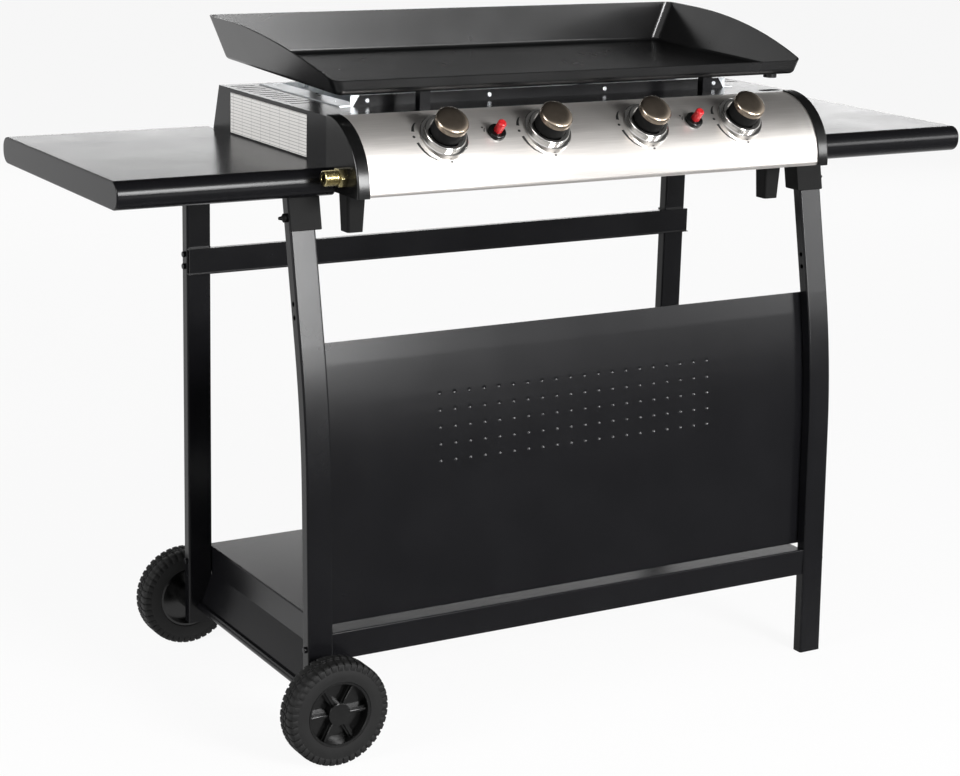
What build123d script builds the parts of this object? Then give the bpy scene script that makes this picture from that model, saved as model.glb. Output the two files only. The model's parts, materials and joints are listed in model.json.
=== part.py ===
from build123d import *
from math import asin, cos, degrees, radians, sin, sqrt, tan
import os

# Gas griddle on a wheeled cart. Millimetres, +X right, -Y front, +Z up, origin on the floor
# under the middle of the object.

# Legs: rectangular steel tube, the front pair bent back at the top
tube_width = 38.0
tube_depth = 19.0
tube_wall = 1.5
tube_corner = 3.0
leg_gap = 19.0
front_foot = 222.0
rear_leg_front = 196.0
lower_lean = 2.0
upper_lean = 11.6
bend_height = 360.0
bend_radius = 1250.0
leg_below_axle = 25.0
leg_hole_dia = 7.0
leg_cap_height = 46.0
leg_cap_wall = 4.0
leg_cap_side = 7.0
leg_cap_depth = 8.0
plug_length = 16.0
plug_recess = 0.5

# Wheels and axle
wheel_dia = 150.0
wheel_width = 38.0
wheel_overhang = 58.0
tread_step = 7.0
bead_step = 2.0
bead_height = 8.0
rim_dia = 92.0
rim_wall = 3.0
web_thickness = 5.0
spoke_count = 6
spoke_width = 8.0
spoke_height = 10.0
boss_dia = 32.0
nut_recess_dia = 22.0
nut_dia = 17.0
nut_length = 6.0
axle_dia = 10.0
axle_end = 1.0
hub_cap_gap = 3.0
hub_cap_height = 5.0
hub_cap_spigot = 2.0

# Folded sheet parts of the cart
sheet = 1.2
tray_height = 168.0
tray_flange = 40.0
tray_setback = 2.0
tray_edge = 2.0
panel_gap = 6.0
panel_top = 567.0
panel_lap = 15.0
panel_screw_inset = 28.0
dimple_columns = 20
dimple_rows = 5
dimple_pitch = 24.0
dimple_row_pitch = 23.6
dimple_middle = 434.6
dimple_radius = 7.6
dimple_depth = 0.9
crossbar_height = 38.0
crossbar_bottom = 597.0
crossbar_depth = 9.0
crossbar_lip = 4.0
crossbar_bolt_inset = 10.0

# Side shelves
shelf_top = 806.0
shelf_thickness = 38.0
shelf_step = 30.5
shelf_depth = 440.0
shelf_length = 309.0
shelf_edge = 17.0
shelf_end_edge = 2.0
shelf_lip = 45.0
shelf_end_lip = 22.0
bearer_sheet = 2.0
bearer_side = 4.0

# Body of the griddle
body_width = 778.0
body_step = 6.0
deck_front = -143.5
deck_depth = 350.5
rear_wall_lean = 17.5
base_flange = 60.0
base_reach = 22.0
slot_length = 38.0
slot_width = 6.0
slot_pitch = 20.0
slot_count = 11
slot_inset = 8.0
slot_back_inset = 23.0
foot_top = 29.0
foot_bottom = 24.0
foot_height = 60.0
foot_corner = 4.0
foot_inset = 39.0
foot_front_inset = 1.5
foot_back_inset = 57.0
data_plate_length = 250.0
data_plate_inset = 58.5
data_plate_margin = 6.0
data_plate_gap = 2.5
data_plate_sheet = 0.6

# Control panel and its end caps
panel_radius = 92.0
panel_sheet = 0.8
panel_roll = 6.0
panel_flange = 24.0
end_cap_width = 18.0
end_cap_proud = 2.0
end_cap_wall = 3.0
end_cap_rim = 6.0
end_cap_ledge = 10.0
end_cap_edge = 3.0

# Burner box and the rail in front of it
deck_side = 89.0
box_front_inset = 73.5
box_back_inset = 17.0
box_clear = 12.0
box_flange = 32.0
box_tab = 16.0
rail_height = 15.0
rail_thickness = 3.0
rail_reach = 12.0
rail_mitre = 10.0
rail_screw_count = 4
rail_screw_inset = 7.5

# Burners and electrodes
burner_count = 4
burner_edge = 54.75
burner_dia = 28.0
burner_end = 2.0
mouth_dia = 36.0
mouth_length = 34.0
mouth_reach = 84.0
port_dia = 3.0
port_count = 14
port_pitch = 15.0
electrode_dia = 6.0
electrode_length = 34.0
electrode_offset = 26.0
electrode_tip = 14.0
electrode_tip_dia = 2.0
lead_dia = 3.0
lead_drop = 14.0
lead_run = 24.0
lead_bend = 9.0
lead_offset = 4.0

# Gas line
manifold_depth = 42.0
manifold_offset = 26.0
manifold_dia = 18.0
manifold_wall = 2.0
bracket_width = 16.0
bracket_foot = 14.0
bracket_sheet = 2.0
port_bore_dia = 6.0
inlet_thread_dia = 20.95
inlet_thread_length = 20.0
inlet_thread_lead = 1.5
inlet_hex = 24.0
inlet_hex_length = 11.0
inlet_neck_dia = 16.0
inlet_spigot = 14.0
inlet_wall = 2.0

# Valves, knobs and bezels
knob_angle = 46.0
stem_dia = 8.0
stem_flat = 2.5
stem_depth = 7.5
stem_top = 28.0
stem_hole_gap = 2.0
valve_dia = 26.0
valve_length = 28.0
neck_dia = 16.0
neck_length = 18.0
neck_gap = 6.0
stub_dia = 14.0
nozzle_depth = 38.0
nozzle_dia = 12.0
nozzle_reach = 4.0
injector_dia = 8.0
injector_length = 6.0
bezel_dia = 70.0
bezel_base = 3.0
bezel_step_dia = 60.0
bezel_height = 9.0
bezel_edge = 2.0
bezel_recess_dia = 50.0
knob_dia = 47.0
knob_base = 7.5
knob_top = 39.0
knob_skirt = 15.0
knob_skirt_step = 1.0
knob_groove = 2.5
knob_bevel = 2.5
knob_push = 3.0

# Igniters
igniter_collar_dia = 26.0
igniter_collar_height = 6.0
igniter_collar_edge = 3.0
igniter_barrel_dia = 16.0
igniter_barrel_length = 34.0
igniter_bore_depth = 24.0
button_dia = 12.5
button_top = 24.0
button_foot = 13.0

# Griddle plate and the posts under it
plate_rise = 27.5
plate_overhang = 17.0
plate_inset = 8.0
plate_depth = 368.0
plate_tilt = 1.7
plate_sheet = 3.0
plate_lip = 19.5
plate_back_wall = 63.5
plate_rim_straight = 60.0
plate_side_flare = 22.8
plate_end_flare = 3.0
plate_corner = 14.0
plate_bend = 9.0
post_width = 16.0
post_depth = 13.0
post_inset = 64.0
post_front_inset = 12.5
post_back_inset = 8.5
drain_dia = 14.0
drain_inset = 19.5
spout_dia = 20.0
spout_drop = 9.0
drain_slot_length = 36.0
drain_slot_width = 17.0

# Grease tray and its guide
guide_gap = 34.0
guide_rise = 22.0
guide_end_gap = 3.0
grease_height = 24.0
grease_sheet = 1.0
grease_side_gap = 3.0
grease_front_inset = 5.5
grease_reach = 4.0
grease_handle = 16.0
grease_handle_inset = 10.0
grease_handle_sheet = 2.0

# Fasteners
bolt_head_dia = 9.0
bolt_head = 3.5
bolt_dia = 6.0
bolt_tail = 6.0
screw_head_dia = 7.0
screw_head = 2.2
screw_dia = 3.5
screw_tail = 3.0
thumb_dia = 12.0
thumb_drop = 30.0
thumb_collar = 4.0
thumb_shoulder = 6.0
thumb_length = 11.0

# Clearances, small edges, and how far a cut runs past a face
seat = 0.1
run = 0.05
slide = 0.4
touch_gap = 0.2
small_edge = 1.0
past = 5.0

# Places worked out from the sizes
reach = body_width
body_half = body_width / 2
leg_inner = body_half + leg_gap
frame_half = leg_inner + tube_width
leg_middle = leg_inner + tube_width / 2
half_depth = tube_depth / 2
axle_x = -leg_middle
axle_z = wheel_dia / 2
wheel_half = wheel_width / 2
left_foot = axle_z - leg_below_axle
rear_leg_back = rear_leg_front + tube_depth
rear_leg_mid = rear_leg_front + half_depth
tray_bolt_z = tray_height - tray_flange / 2
panel_bottom = tray_height + panel_gap
panel_screws = (panel_bottom + panel_screw_inset, panel_top - panel_screw_inset)
crossbar_top = crossbar_bottom + crossbar_height
crossbar_bolts = (crossbar_bottom + crossbar_bolt_inset, crossbar_top - crossbar_bolt_inset)
shelf_bottom = shelf_top - shelf_thickness
shelf_front = deck_front - shelf_step
shelf_back = shelf_front + shelf_depth
shelf_end = body_half + shelf_length
body_bottom = shelf_bottom + body_step
panel_centre_z = body_bottom + panel_roll
deck_top = panel_centre_z + panel_radius
deck_back = deck_front + deck_depth
cap_inner = body_half - end_cap_width
box_half = body_half - deck_side
box_front = deck_front + box_front_inset
box_back = deck_back - box_back_inset
box_bottom = body_bottom + box_clear
burner_pitch = 2 * (box_half - burner_edge) / (burner_count - 1)
burner_xs = [(index - (burner_count - 1) / 2) * burner_pitch for index in range(burner_count)]
igniter_xs = [(burner_xs[0] + burner_xs[1]) / 2, (burner_xs[-2] + burner_xs[-1]) / 2]
mouth_y = box_front - mouth_reach
lean = radians(lower_lean)
top_lean = radians(upper_lean)
wall_slope = tan(radians(rear_wall_lean))


def block(x0, x1, y0, y1, z0, z1):
    return Pos((x0 + x1) / 2, (y0 + y1) / 2, (z0 + z1) / 2) * Box(x1 - x0, y1 - y0, z1 - z0)


def disc(radius, z0, z1):
    return Pos(0, 0, z0) * Cylinder(radius, z1 - z0, align=(Align.CENTER, Align.CENTER, Align.MIN))


def rod(radius, start, end):
    start, end = Vector(*start), Vector(*end)
    axis = end - start
    return Plane(start, z_dir=axis) * disc(radius, 0, axis.length)


def side_rod(radius, x0, x1, y, z):
    return rod(radius, (x0, y, z), (x1, y, z))


def across(edges, x0, x1):
    """Extrude an outline drawn in Y and Z from x0 to x1."""
    return Pos(x0, 0, 0) * extrude(Plane.YZ * make_face(edges), x1 - x0, dir=(1, 0, 0))


def mirrored(shape):
    return mirror(shape, about=Plane.YZ)


def top_edges(shape):
    return shape.edges().group_by(Axis.Z)[-1]


os.makedirs("parts", exist_ok=True)


def save(name, *pieces):
    solids = [solid for piece in pieces for solid in piece.solids()]
    export_step(solids[0] if len(solids) == 1 else Compound(children=solids), f"parts/{name}.step")


# The line of a front leg: straight, a gentle bend back, then straight again.
# An offset runs square to the leg, positive to the back.
foot_y = -front_foot + half_depth / cos(lean)
bend_centre_y = foot_y + bend_height * tan(lean) + bend_radius * cos(lean)
bend_centre_z = bend_height - bend_radius * sin(lean)


def bend_point(angle, offset):
    radius = bend_radius - offset
    return (bend_centre_y - radius * cos(angle), bend_centre_z + radius * sin(angle))


def leg_line(offset):
    low = bend_point(lean, offset)
    middle = bend_point((lean + top_lean) / 2, offset)
    high = bend_point(top_lean, offset)
    drop = bend_height + reach
    foot = (low[0] - drop * tan(lean), low[1] - drop)
    head = (high[0] + reach * tan(top_lean), high[1] + reach)
    return [Line(foot, low), ThreePointArc(low, middle, high), Line(high, head)]


def leg_slab(front, back, x0, x1, z0, z1):
    """A slab that follows the front leg between two offsets and two heights."""
    near, far = leg_line(front), leg_line(back)
    edges = near + far + [Line(near[0] @ 0, far[0] @ 0), Line(near[2] @ 1, far[2] @ 1)]
    return across(edges, x0, x1) & block(x0, x1, -2 * reach, 2 * reach, z0, z1)


def leg_place(height, offset=0.0):
    """A frame on the front leg at a height: X to the right, Z square to the leg's back."""
    rise = (height - bend_centre_z) / (bend_radius - offset)
    angle = asin(min(max(rise, sin(lean)), sin(top_lean)))
    y, z = bend_point(angle, offset)
    y += (height - z) * tan(angle)
    return Plane((0, y, height), x_dir=(1, 0, 0), z_dir=(0, cos(angle), -sin(angle)))


def leg_y(height, offset=0.0):
    return leg_place(height, offset).origin.Y


axle_leg_front = leg_y(axle_z, -half_depth)
wheel_front_y = axle_leg_front - wheel_overhang + wheel_half
wheel_rear_y = -wheel_front_y
axle_hole = rod(axle_dia / 2 + seat, (axle_x, wheel_front_y, axle_z), (axle_x, wheel_rear_y, axle_z))
thumb_z = shelf_bottom - thumb_drop
panel_screw_x = leg_inner + panel_lap / 2


# Front legs, with the holes for the tray, the panel, the thumb screw and a cross bar
def front_leg(foot):
    outer = leg_slab(-half_depth, half_depth, leg_inner, frame_half, foot - past, shelf_top)
    long_edges = outer.edges().filter_by(lambda edge: edge.length > 2 * tube_width)
    trim = block(leg_inner, frame_half, -reach, reach, foot, shelf_bottom)
    core_depth = half_depth - tube_wall
    core = leg_slab(-core_depth, core_depth, leg_inner + tube_wall, frame_half - tube_wall,
                    foot - past, shelf_top)
    leg = (fillet(long_edges, tube_corner) & trim) - core
    for height in crossbar_bolts:
        leg -= side_rod(leg_hole_dia / 2, leg_inner - past, frame_half + past, leg_y(height), height)
    leg -= side_rod(bolt_dia / 2 + seat, leg_inner - past, frame_half + past,
                    leg_y(tray_bolt_z), tray_bolt_z)
    leg -= side_rod(screw_dia / 2 + seat, leg_middle, frame_half + past, leg_y(thumb_z), thumb_z)
    for height in panel_screws:
        leg -= leg_place(height) * Pos(panel_screw_x, 0, 0) * disc(screw_dia / 2 + seat, 0, tube_depth)
    return leg


save("front_leg_right", front_leg(0))
save("front_leg_left", mirrored(front_leg(left_foot)) - axle_hole)


# Rear legs, with the cross bar and tray bolts through their sides
def rear_leg(foot):
    place = Pos(leg_middle, rear_leg_mid, foot)
    core = Rectangle(tube_width - 2 * tube_wall, tube_depth - 2 * tube_wall)
    section = RectangleRounded(tube_width, tube_depth, tube_corner) - core
    leg = place * extrude(section, shelf_bottom - foot)
    for height in (*crossbar_bolts, tray_bolt_z):
        leg -= side_rod(bolt_dia / 2 + seat, leg_inner - past, frame_half + past, rear_leg_mid, height)
    return leg


save("rear_leg_right", rear_leg(0))
save("rear_leg_left", mirrored(rear_leg(left_foot)) - axle_hole)


# Plastic plugs in the open feet of the right legs
def foot_plug(y, angle):
    inside = Rectangle(tube_width - 2 * (tube_wall + seat), tube_depth - 2 * (tube_wall + seat))
    plug = extrude(inside, plug_length)
    plug = chamfer(top_edges(plug), small_edge)
    return Pos(leg_middle, y, 0) * Rot(-angle, 0, 0) * Pos(0, 0, plug_recess) * plug


save("leg_plugs", foot_plug(foot_y, lower_lean), foot_plug(rear_leg_mid, 0))

# Moulded caps on the front and the inner side of the front leg heads
cap_foot = shelf_bottom - leg_cap_height
cap_front = -half_depth - leg_cap_wall
leg_cap = leg_slab(cap_front, -half_depth - touch_gap, leg_inner - leg_cap_side, frame_half,
                   cap_foot, shelf_bottom)
leg_cap += leg_slab(cap_front, half_depth + leg_cap_depth, leg_inner - leg_cap_side, leg_inner,
                    cap_foot, shelf_bottom)
leg_cap = chamfer(leg_cap.edges().group_by(Axis.Z)[0], small_edge)
save("leg_caps", leg_cap, mirrored(leg_cap))


# Thumb screws with pointed ends that hold the leg heads
def thumb_screw():
    shank, head = screw_dia / 2, thumb_dia / 2
    tail = -2 * tube_wall
    outline = Polyline((0, tail), (shank, tail), (shank, 0), (head, 0), (head, thumb_collar),
                       (head / 2, thumb_shoulder), (head / 3, thumb_length), (0, thumb_length), close=True)
    screw = revolve(Plane.XZ * make_face(outline), Axis.Z)
    return Plane((frame_half, leg_y(thumb_z), thumb_z), z_dir=(1, 0, 0)) * screw


save("leg_screws", thumb_screw(), mirrored(thumb_screw()))

# Bottom shelf: a folded tray between the legs
tray_bottom = tray_height - tray_flange
tray_front = leg_y(tray_height, -half_depth) + tray_setback
tray = block(-leg_inner, leg_inner, tray_front, rear_leg_back, tray_bottom, tray_height)
tray = fillet(top_edges(tray), tray_edge)
tray -= block(-leg_inner + sheet, leg_inner - sheet, tray_front + sheet, rear_leg_back - sheet,
              tray_bottom - past, tray_height - sheet)
for side in (-1, 1):
    for y in (leg_y(tray_bolt_z), rear_leg_mid):
        tray -= side_rod(bolt_dia / 2 + seat, side * (leg_inner - past), side * (leg_inner + past),
                         y, tray_bolt_z)
save("bottom_shelf", tray)

# Front panel: a sheet on the backs of the front legs, with five rows of dimples
panel_face = half_depth + touch_gap
panel_half = leg_inner + panel_lap
front_panel = leg_slab(panel_face, panel_face + sheet, -panel_half, panel_half, panel_bottom, panel_top)
dimples = []
for row in range(dimple_rows):
    height = dimple_middle + (row - (dimple_rows - 1) / 2) * dimple_row_pitch
    place = leg_place(height, panel_face)
    for column in range(dimple_columns):
        x = (column - (dimple_columns - 1) / 2) * dimple_pitch
        dimples.append(place * Pos(x, 0, dimple_depth - dimple_radius) * Sphere(dimple_radius))
front_panel -= dimples
for height in panel_screws:
    for side in (-1, 1):
        hole = leg_place(height) * Pos(side * panel_screw_x, 0, half_depth)
        front_panel -= hole * disc(screw_dia / 2 + seat, -past, past)
save("front_panel", front_panel)

# Rear cross bar: folded sheet over the fronts of the rear legs, with tabs on their inner sides
bar_front = rear_leg_front - crossbar_depth
crossbar = block(-frame_half, frame_half, bar_front, bar_front + sheet, crossbar_bottom, crossbar_top)
crossbar += block(-frame_half, frame_half, bar_front, rear_leg_front, crossbar_top - sheet, crossbar_top)
crossbar += block(-frame_half, frame_half, bar_front - crossbar_lip, rear_leg_front, crossbar_bottom,
                  crossbar_bottom + sheet)
tab = block(leg_inner - sheet, leg_inner, bar_front, rear_leg_back, crossbar_bottom, crossbar_top)
for height in crossbar_bolts:
    tab -= side_rod(bolt_dia / 2 + seat, leg_inner - past, leg_inner + past, rear_leg_mid, height)
crossbar += [tab, mirrored(tab)]
save("rear_crossbar", crossbar)

# Axle through the left legs, and its nuts
nut_start = web_thickness / 2 + slide
axle_half = wheel_rear_y + nut_start + nut_length + axle_end
save("axle", rod(axle_dia / 2, (axle_x, -axle_half, axle_z), (axle_x, axle_half, axle_z)))


def wheel_place(side):
    y = wheel_rear_y if side > 0 else wheel_front_y
    return Plane((axle_x, y, axle_z), x_dir=(1, 0, 0), z_dir=(0, side, 0))


def axle_nut(side):
    nut = extrude(RegularPolygon(nut_dia / 2, 6), nut_length)
    nut -= disc(axle_dia / 2 + run, -past, nut_length + past)
    return wheel_place(side) * Pos(0, 0, nut_start) * nut


save("axle_nuts", axle_nut(-1), axle_nut(1))

# Guard plate that hangs from the tray's left flange and is rolled round the axle
guard_front = leg_y(axle_z, half_depth) + (tray_bottom - left_foot) * tan(lean)
guard_run = (sheet / 2 - leg_inner) - axle_x
guard_rise = tray_bottom - axle_z
guard_length = sqrt(guard_run**2 + guard_rise**2)
guard_turn = Location((axle_x, 0, axle_z), (0, degrees(asin(guard_run / guard_length)), 0))
guard = guard_turn * block(-sheet / 2, sheet / 2, guard_front, rear_leg_front, 0, guard_length + past)
guard += rod(axle_dia / 2 + seat + sheet, (axle_x, guard_front, axle_z), (axle_x, rear_leg_front, axle_z))
guard -= axle_hole
guard &= block(-frame_half, 0, guard_front, rear_leg_front, 0, tray_bottom)
save("axle_guard", guard)

# Wheels: rubber tyre, moulded rim with raised spokes, and a hub cap
tyre_r, bead_r = wheel_dia / 2, rim_dia / 2
tyre_outline = Polyline(
    (bead_r, bead_step - wheel_half), (bead_r + bead_height, -wheel_half), (tyre_r - tread_step, -wheel_half),
    (tyre_r, tread_step - wheel_half), (tyre_r, wheel_half - tread_step), (tyre_r - tread_step, wheel_half),
    (bead_r + bead_height, wheel_half), (bead_r, wheel_half - bead_step), close=True)
tyre = revolve(Plane.XZ * make_face(tyre_outline), Axis.Z)
cap_level = nut_start + nut_length + hub_cap_gap


def wheel_rim(inner_end):
    barrel_half = wheel_half - bead_step
    rim = disc(bead_r, -barrel_half, barrel_half) - disc(bead_r - rim_wall, -wheel_half, wheel_half)
    rim += disc(bead_r - rim_wall / 2, -web_thickness / 2, web_thickness / 2)
    for index in range(spoke_count):
        spoke = Box(bead_r - rim_wall / 2, spoke_width, spoke_height,
                    align=(Align.MIN, Align.CENTER, Align.MIN))
        rim += Rot(0, 0, 360 * index / spoke_count) * spoke
    rim += disc(boss_dia / 2, -inner_end, cap_level)
    rim -= disc(axle_dia / 2 + run, -inner_end - past, cap_level)
    return rim - disc(nut_recess_dia / 2, web_thickness / 2, cap_level + past)


hub_cap = disc(boss_dia / 2, cap_level, cap_level + hub_cap_height)
hub_cap = fillet(top_edges(hub_cap), small_edge)
spigot = disc(nut_recess_dia / 2 - seat, cap_level - hub_cap_spigot, cap_level)
hub_cap += spigot - disc(nut_recess_dia / 2 - hub_cap_spigot, cap_level - past, cap_level)
front_boss = axle_leg_front - wheel_front_y - boss_dia / 2 * tan(lean) - slide
rear_boss = wheel_rear_y - rear_leg_back - slide
for side, end, boss in ((-1, "front", front_boss), (1, "rear", rear_boss)):
    save(f"tyre_{end}", wheel_place(side) * tyre)
    save(f"wheel_{end}", wheel_place(side) * wheel_rim(boss))
    save(f"hub_cap_{end}", wheel_place(side) * hub_cap)


# Side shelves: folded sheet with rolled front and back edges and closed ends, open below
def shelf_block(x0, x1, inset):
    section = RectangleRounded(shelf_depth - 2 * inset, shelf_thickness - 2 * inset, shelf_edge - inset)
    place = Pos((shelf_front + shelf_back) / 2, (shelf_top + shelf_bottom) / 2)
    return Pos(x0, 0, 0) * extrude(Plane.YZ * (place * section), x1 - x0, dir=(1, 0, 0))


bearer_inner = leg_inner - bearer_side
bearer_outer = frame_half + bearer_side
bearer_front = shelf_front + shelf_lip + slide
bearer_back = shelf_back - shelf_lip - slide
shelf = shelf_block(body_half, shelf_end, 0)
shelf = fillet(shelf.faces().sort_by(Axis.X)[-1].edges(), shelf_end_edge)
shelf -= shelf_block(body_half + sheet, shelf_end - sheet, sheet)
shelf -= block(bearer_inner - slide, shelf_end - shelf_end_lip, bearer_front - slide, bearer_back + slide,
               shelf_bottom - past, shelf_bottom + past)
save("shelf_right", shelf)
save("shelf_left", mirrored(shelf))

# Channels under the shelves that stand on the leg heads
bearer = block(bearer_inner, bearer_outer, bearer_front, bearer_back, shelf_bottom, shelf_top - sheet)
bearer -= block(bearer_inner + bearer_sheet, bearer_outer - bearer_sheet, shelf_front, shelf_back,
                shelf_bottom + bearer_sheet, shelf_top)
save("shelf_bearers", bearer, mirrored(bearer))


# Bolts of the cart, heads on the outer sides of the legs
def frame_bolt(y, height):
    head = side_rod(bolt_head_dia / 2, frame_half, frame_half + bolt_head, y, height)
    head = fillet(head.edges().sort_by(Axis.X)[-1], small_edge)
    return head + side_rod(bolt_dia / 2, leg_inner - sheet - bolt_tail, frame_half, y, height)


bolts = [frame_bolt(rear_leg_mid, height) for height in (*crossbar_bolts, tray_bolt_z)]
bolts.append(frame_bolt(leg_y(tray_bolt_z), tray_bolt_z))
save("frame_bolts", *bolts, *[mirrored(bolt) for bolt in bolts])

# Grease tray and guide: the places that the body's rear wall has to leave open
guide_x = box_half + guide_gap
guide_floor = body_bottom + guide_rise
body_inner = body_half - sheet
grease_left = guide_x + sheet + slide
grease_right = body_inner - grease_side_gap
grease_front = deck_front + grease_front_inset
grease_low = guide_floor + sheet + seat
grease_top = grease_low + grease_height
drain_x = (grease_left + grease_right) / 2
drain_y = deck_front + drain_inset


# Body shell: deck, side walls and leaning rear wall folded from one sheet, open below and in front
def shell_block(x0, x1, inset, front, low):
    top = deck_top - inset
    back = deck_back - inset / cos(radians(rear_wall_lean)) + inset * wall_slope
    outline = Polyline((front, low), (front, top), (back, top),
                       (back + (top - low) * wall_slope, low), close=True)
    return across(outline, x0, x1)


shell = shell_block(-body_half, body_half, 0, deck_front, body_bottom)
shell -= shell_block(-body_inner, body_inner, sheet, deck_front - past, body_bottom - past)
flange_inner = body_half - base_flange
flange_back = deck_back + panel_radius * wall_slope
flange = block(flange_inner, body_half - sheet / 2, deck_front, flange_back, body_bottom, body_bottom + sheet)
flange += block(flange_inner, cap_inner - end_cap_ledge - slide, deck_front - base_reach, deck_front,
                body_bottom, body_bottom + sheet)
shell += [flange, mirrored(flange)]
shell -= block(-box_half - seat, box_half + seat, box_front - seat, box_back + seat,
               deck_top - past, deck_top + past)
slot_x = body_half - slot_inset - slot_length / 2
slot_ys = [deck_back - slot_back_inset - index * slot_pitch for index in range(slot_count)]
slots = [Pos(side * slot_x, y) * SlotOverall(slot_length, slot_width) for side in (-1, 1) for y in slot_ys]
slots.append(Pos(drain_x, drain_y) * SlotOverall(drain_slot_length, drain_slot_width))
for slot in slots:
    shell -= Pos(0, 0, deck_top) * extrude(slot, past, both=True)
shell -= block(grease_left - slide, grease_right + slide, deck_back, deck_back + reach,
               grease_low - seat - slide, grease_top + slide)
save("body_shell", shell)

# Feet for standing the body on a table, screwed under the base flanges
foot = loft([Pos(0, 0, body_bottom) * RectangleRounded(foot_top, foot_top, foot_corner),
             Pos(0, 0, body_bottom - foot_height) * RectangleRounded(foot_bottom, foot_bottom, foot_corner)])
foot_x = body_half - foot_inset
foot_ys = (deck_front - foot_front_inset, deck_back - foot_back_inset)
save("body_feet", *[Pos(x, y, 0) * foot for x in (-foot_x, foot_x) for y in foot_ys])

# Blank plate on the left side wall
save("data_plate", block(-body_half - data_plate_sheet, -body_half, deck_front + data_plate_inset,
                         deck_front + data_plate_inset + data_plate_length,
                         shelf_top + data_plate_gap, deck_top - data_plate_margin))


# Control panel: stainless quarter round with a rolled lower edge
def panel_frame(x):
    """The frame where a knob's axis meets the panel: Z leaves the panel, Y goes up along it."""
    angle = radians(knob_angle)
    origin = (x, deck_front - panel_radius * cos(angle), panel_centre_z + panel_radius * sin(angle))
    return Plane(origin, x_dir=(1, 0, 0), z_dir=(0, -cos(angle), sin(angle)))


def panel_round(radius, x0, x1):
    return side_rod(radius, x0, x1, deck_front, panel_centre_z)


panel_centre = (deck_front, panel_centre_z)
roll_centre = (deck_front - panel_radius + panel_roll, panel_centre_z)
flange_end = roll_centre[0] + panel_flange
flange_top = body_bottom + panel_sheet
control_panel = across([
    CenterArc(panel_centre, panel_radius, 90, 90),
    CenterArc(roll_centre, panel_roll, 180, 90),
    Line((roll_centre[0], body_bottom), (flange_end, body_bottom)),
    Line((flange_end, body_bottom), (flange_end, flange_top)),
    Line((flange_end, flange_top), (roll_centre[0], flange_top)),
    CenterArc(roll_centre, panel_roll - panel_sheet, 180, 90),
    CenterArc(panel_centre, panel_radius - panel_sheet, 90, 90),
    Line((deck_front, deck_top - panel_sheet), (deck_front, deck_top)),
], -cap_inner, cap_inner)
for x in burner_xs:
    control_panel -= panel_frame(x) * disc(stem_dia / 2 + stem_hole_gap, -past, past)
for x in igniter_xs:
    control_panel -= panel_frame(x) * disc(igniter_barrel_dia / 2 + seat, -past, past)
save("control_panel", control_panel)


# Moulded end caps of the control panel: hollow, with a ledge under the panel's end
def end_cap():
    radius = panel_radius + end_cap_proud
    front = deck_front - radius
    cap = across([
        CenterArc(panel_centre, radius, 90, 90),
        Line((front, panel_centre_z), (front, body_bottom)),
        Line((front, body_bottom), (deck_front, body_bottom)),
        Line((deck_front, body_bottom), (deck_front, panel_centre_z + radius)),
    ], cap_inner, body_half)
    rim = cap.faces().sort_by(Axis.X)[-1].edges().filter_by(GeomType.CIRCLE)
    cap = fillet(rim, end_cap_edge)
    inner = radius - end_cap_rim
    back = deck_front - end_cap_wall
    hollow = panel_round(inner, cap_inner - past, body_half - end_cap_wall)
    hollow &= block(0, body_half, -reach, back, body_bottom + end_cap_wall, 2 * reach)
    ledge_start = cap_inner - end_cap_ledge
    ledge = panel_round(panel_radius - panel_sheet - seat, ledge_start, cap_inner + end_cap_wall)
    ledge -= panel_round(inner, ledge_start - past, body_half)
    ledge &= block(0, body_half, -reach, back, panel_centre_z, 2 * reach)
    return cap - hollow + ledge


manifold_at = (panel_frame(0) * Pos(0, -manifold_offset, -manifold_depth)).position
gas_y, gas_z = manifold_at.Y, manifold_at.Z
inlet_hole = side_rod(inlet_neck_dia / 2 + seat, -body_half - past, past - cap_inner, gas_y, gas_z)
save("end_cap_right", end_cap())
save("end_cap_left", mirrored(end_cap()) - inlet_hole)

# Burner box: galvanised tray hung in the deck by its side flanges, with an upstand for the front rail
burner_box = block(-box_half, box_half, box_front, box_back, box_bottom, deck_top + sheet)
hanger = block(box_half - sheet, box_half + box_flange, box_front, box_back, deck_top, deck_top + sheet)
upstand = block(-box_half - box_tab, box_half + box_tab, box_front - sheet, box_front,
                deck_top, deck_top + rail_height)
burner_box += [hanger, mirrored(hanger), upstand]
burner_box -= block(-box_half + sheet, box_half - sheet, box_front + sheet, box_back - sheet,
                    box_bottom + sheet, deck_top + past)
nozzle_at = (panel_frame(0) * Pos(0, 0, -nozzle_depth)).position
nozzle_y, burner_z = nozzle_at.Y, nozzle_at.Z
electrode_z = burner_z + burner_dia / 2 + electrode_dia


def igniter_of(x):
    return min(igniter_xs, key=lambda place: abs(place - x))


def electrode_x(x):
    return x + electrode_offset if igniter_of(x) > x else x - electrode_offset


def front_wall_hole(radius, x, z):
    return rod(radius + seat, (x, box_front - past, z), (x, box_front + past, z))


for x in burner_xs:
    burner_box -= front_wall_hole(burner_dia / 2, x, burner_z)
    burner_box -= front_wall_hole(electrode_dia / 2, electrode_x(x), electrode_z)
save("burner_box", burner_box)

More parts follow.
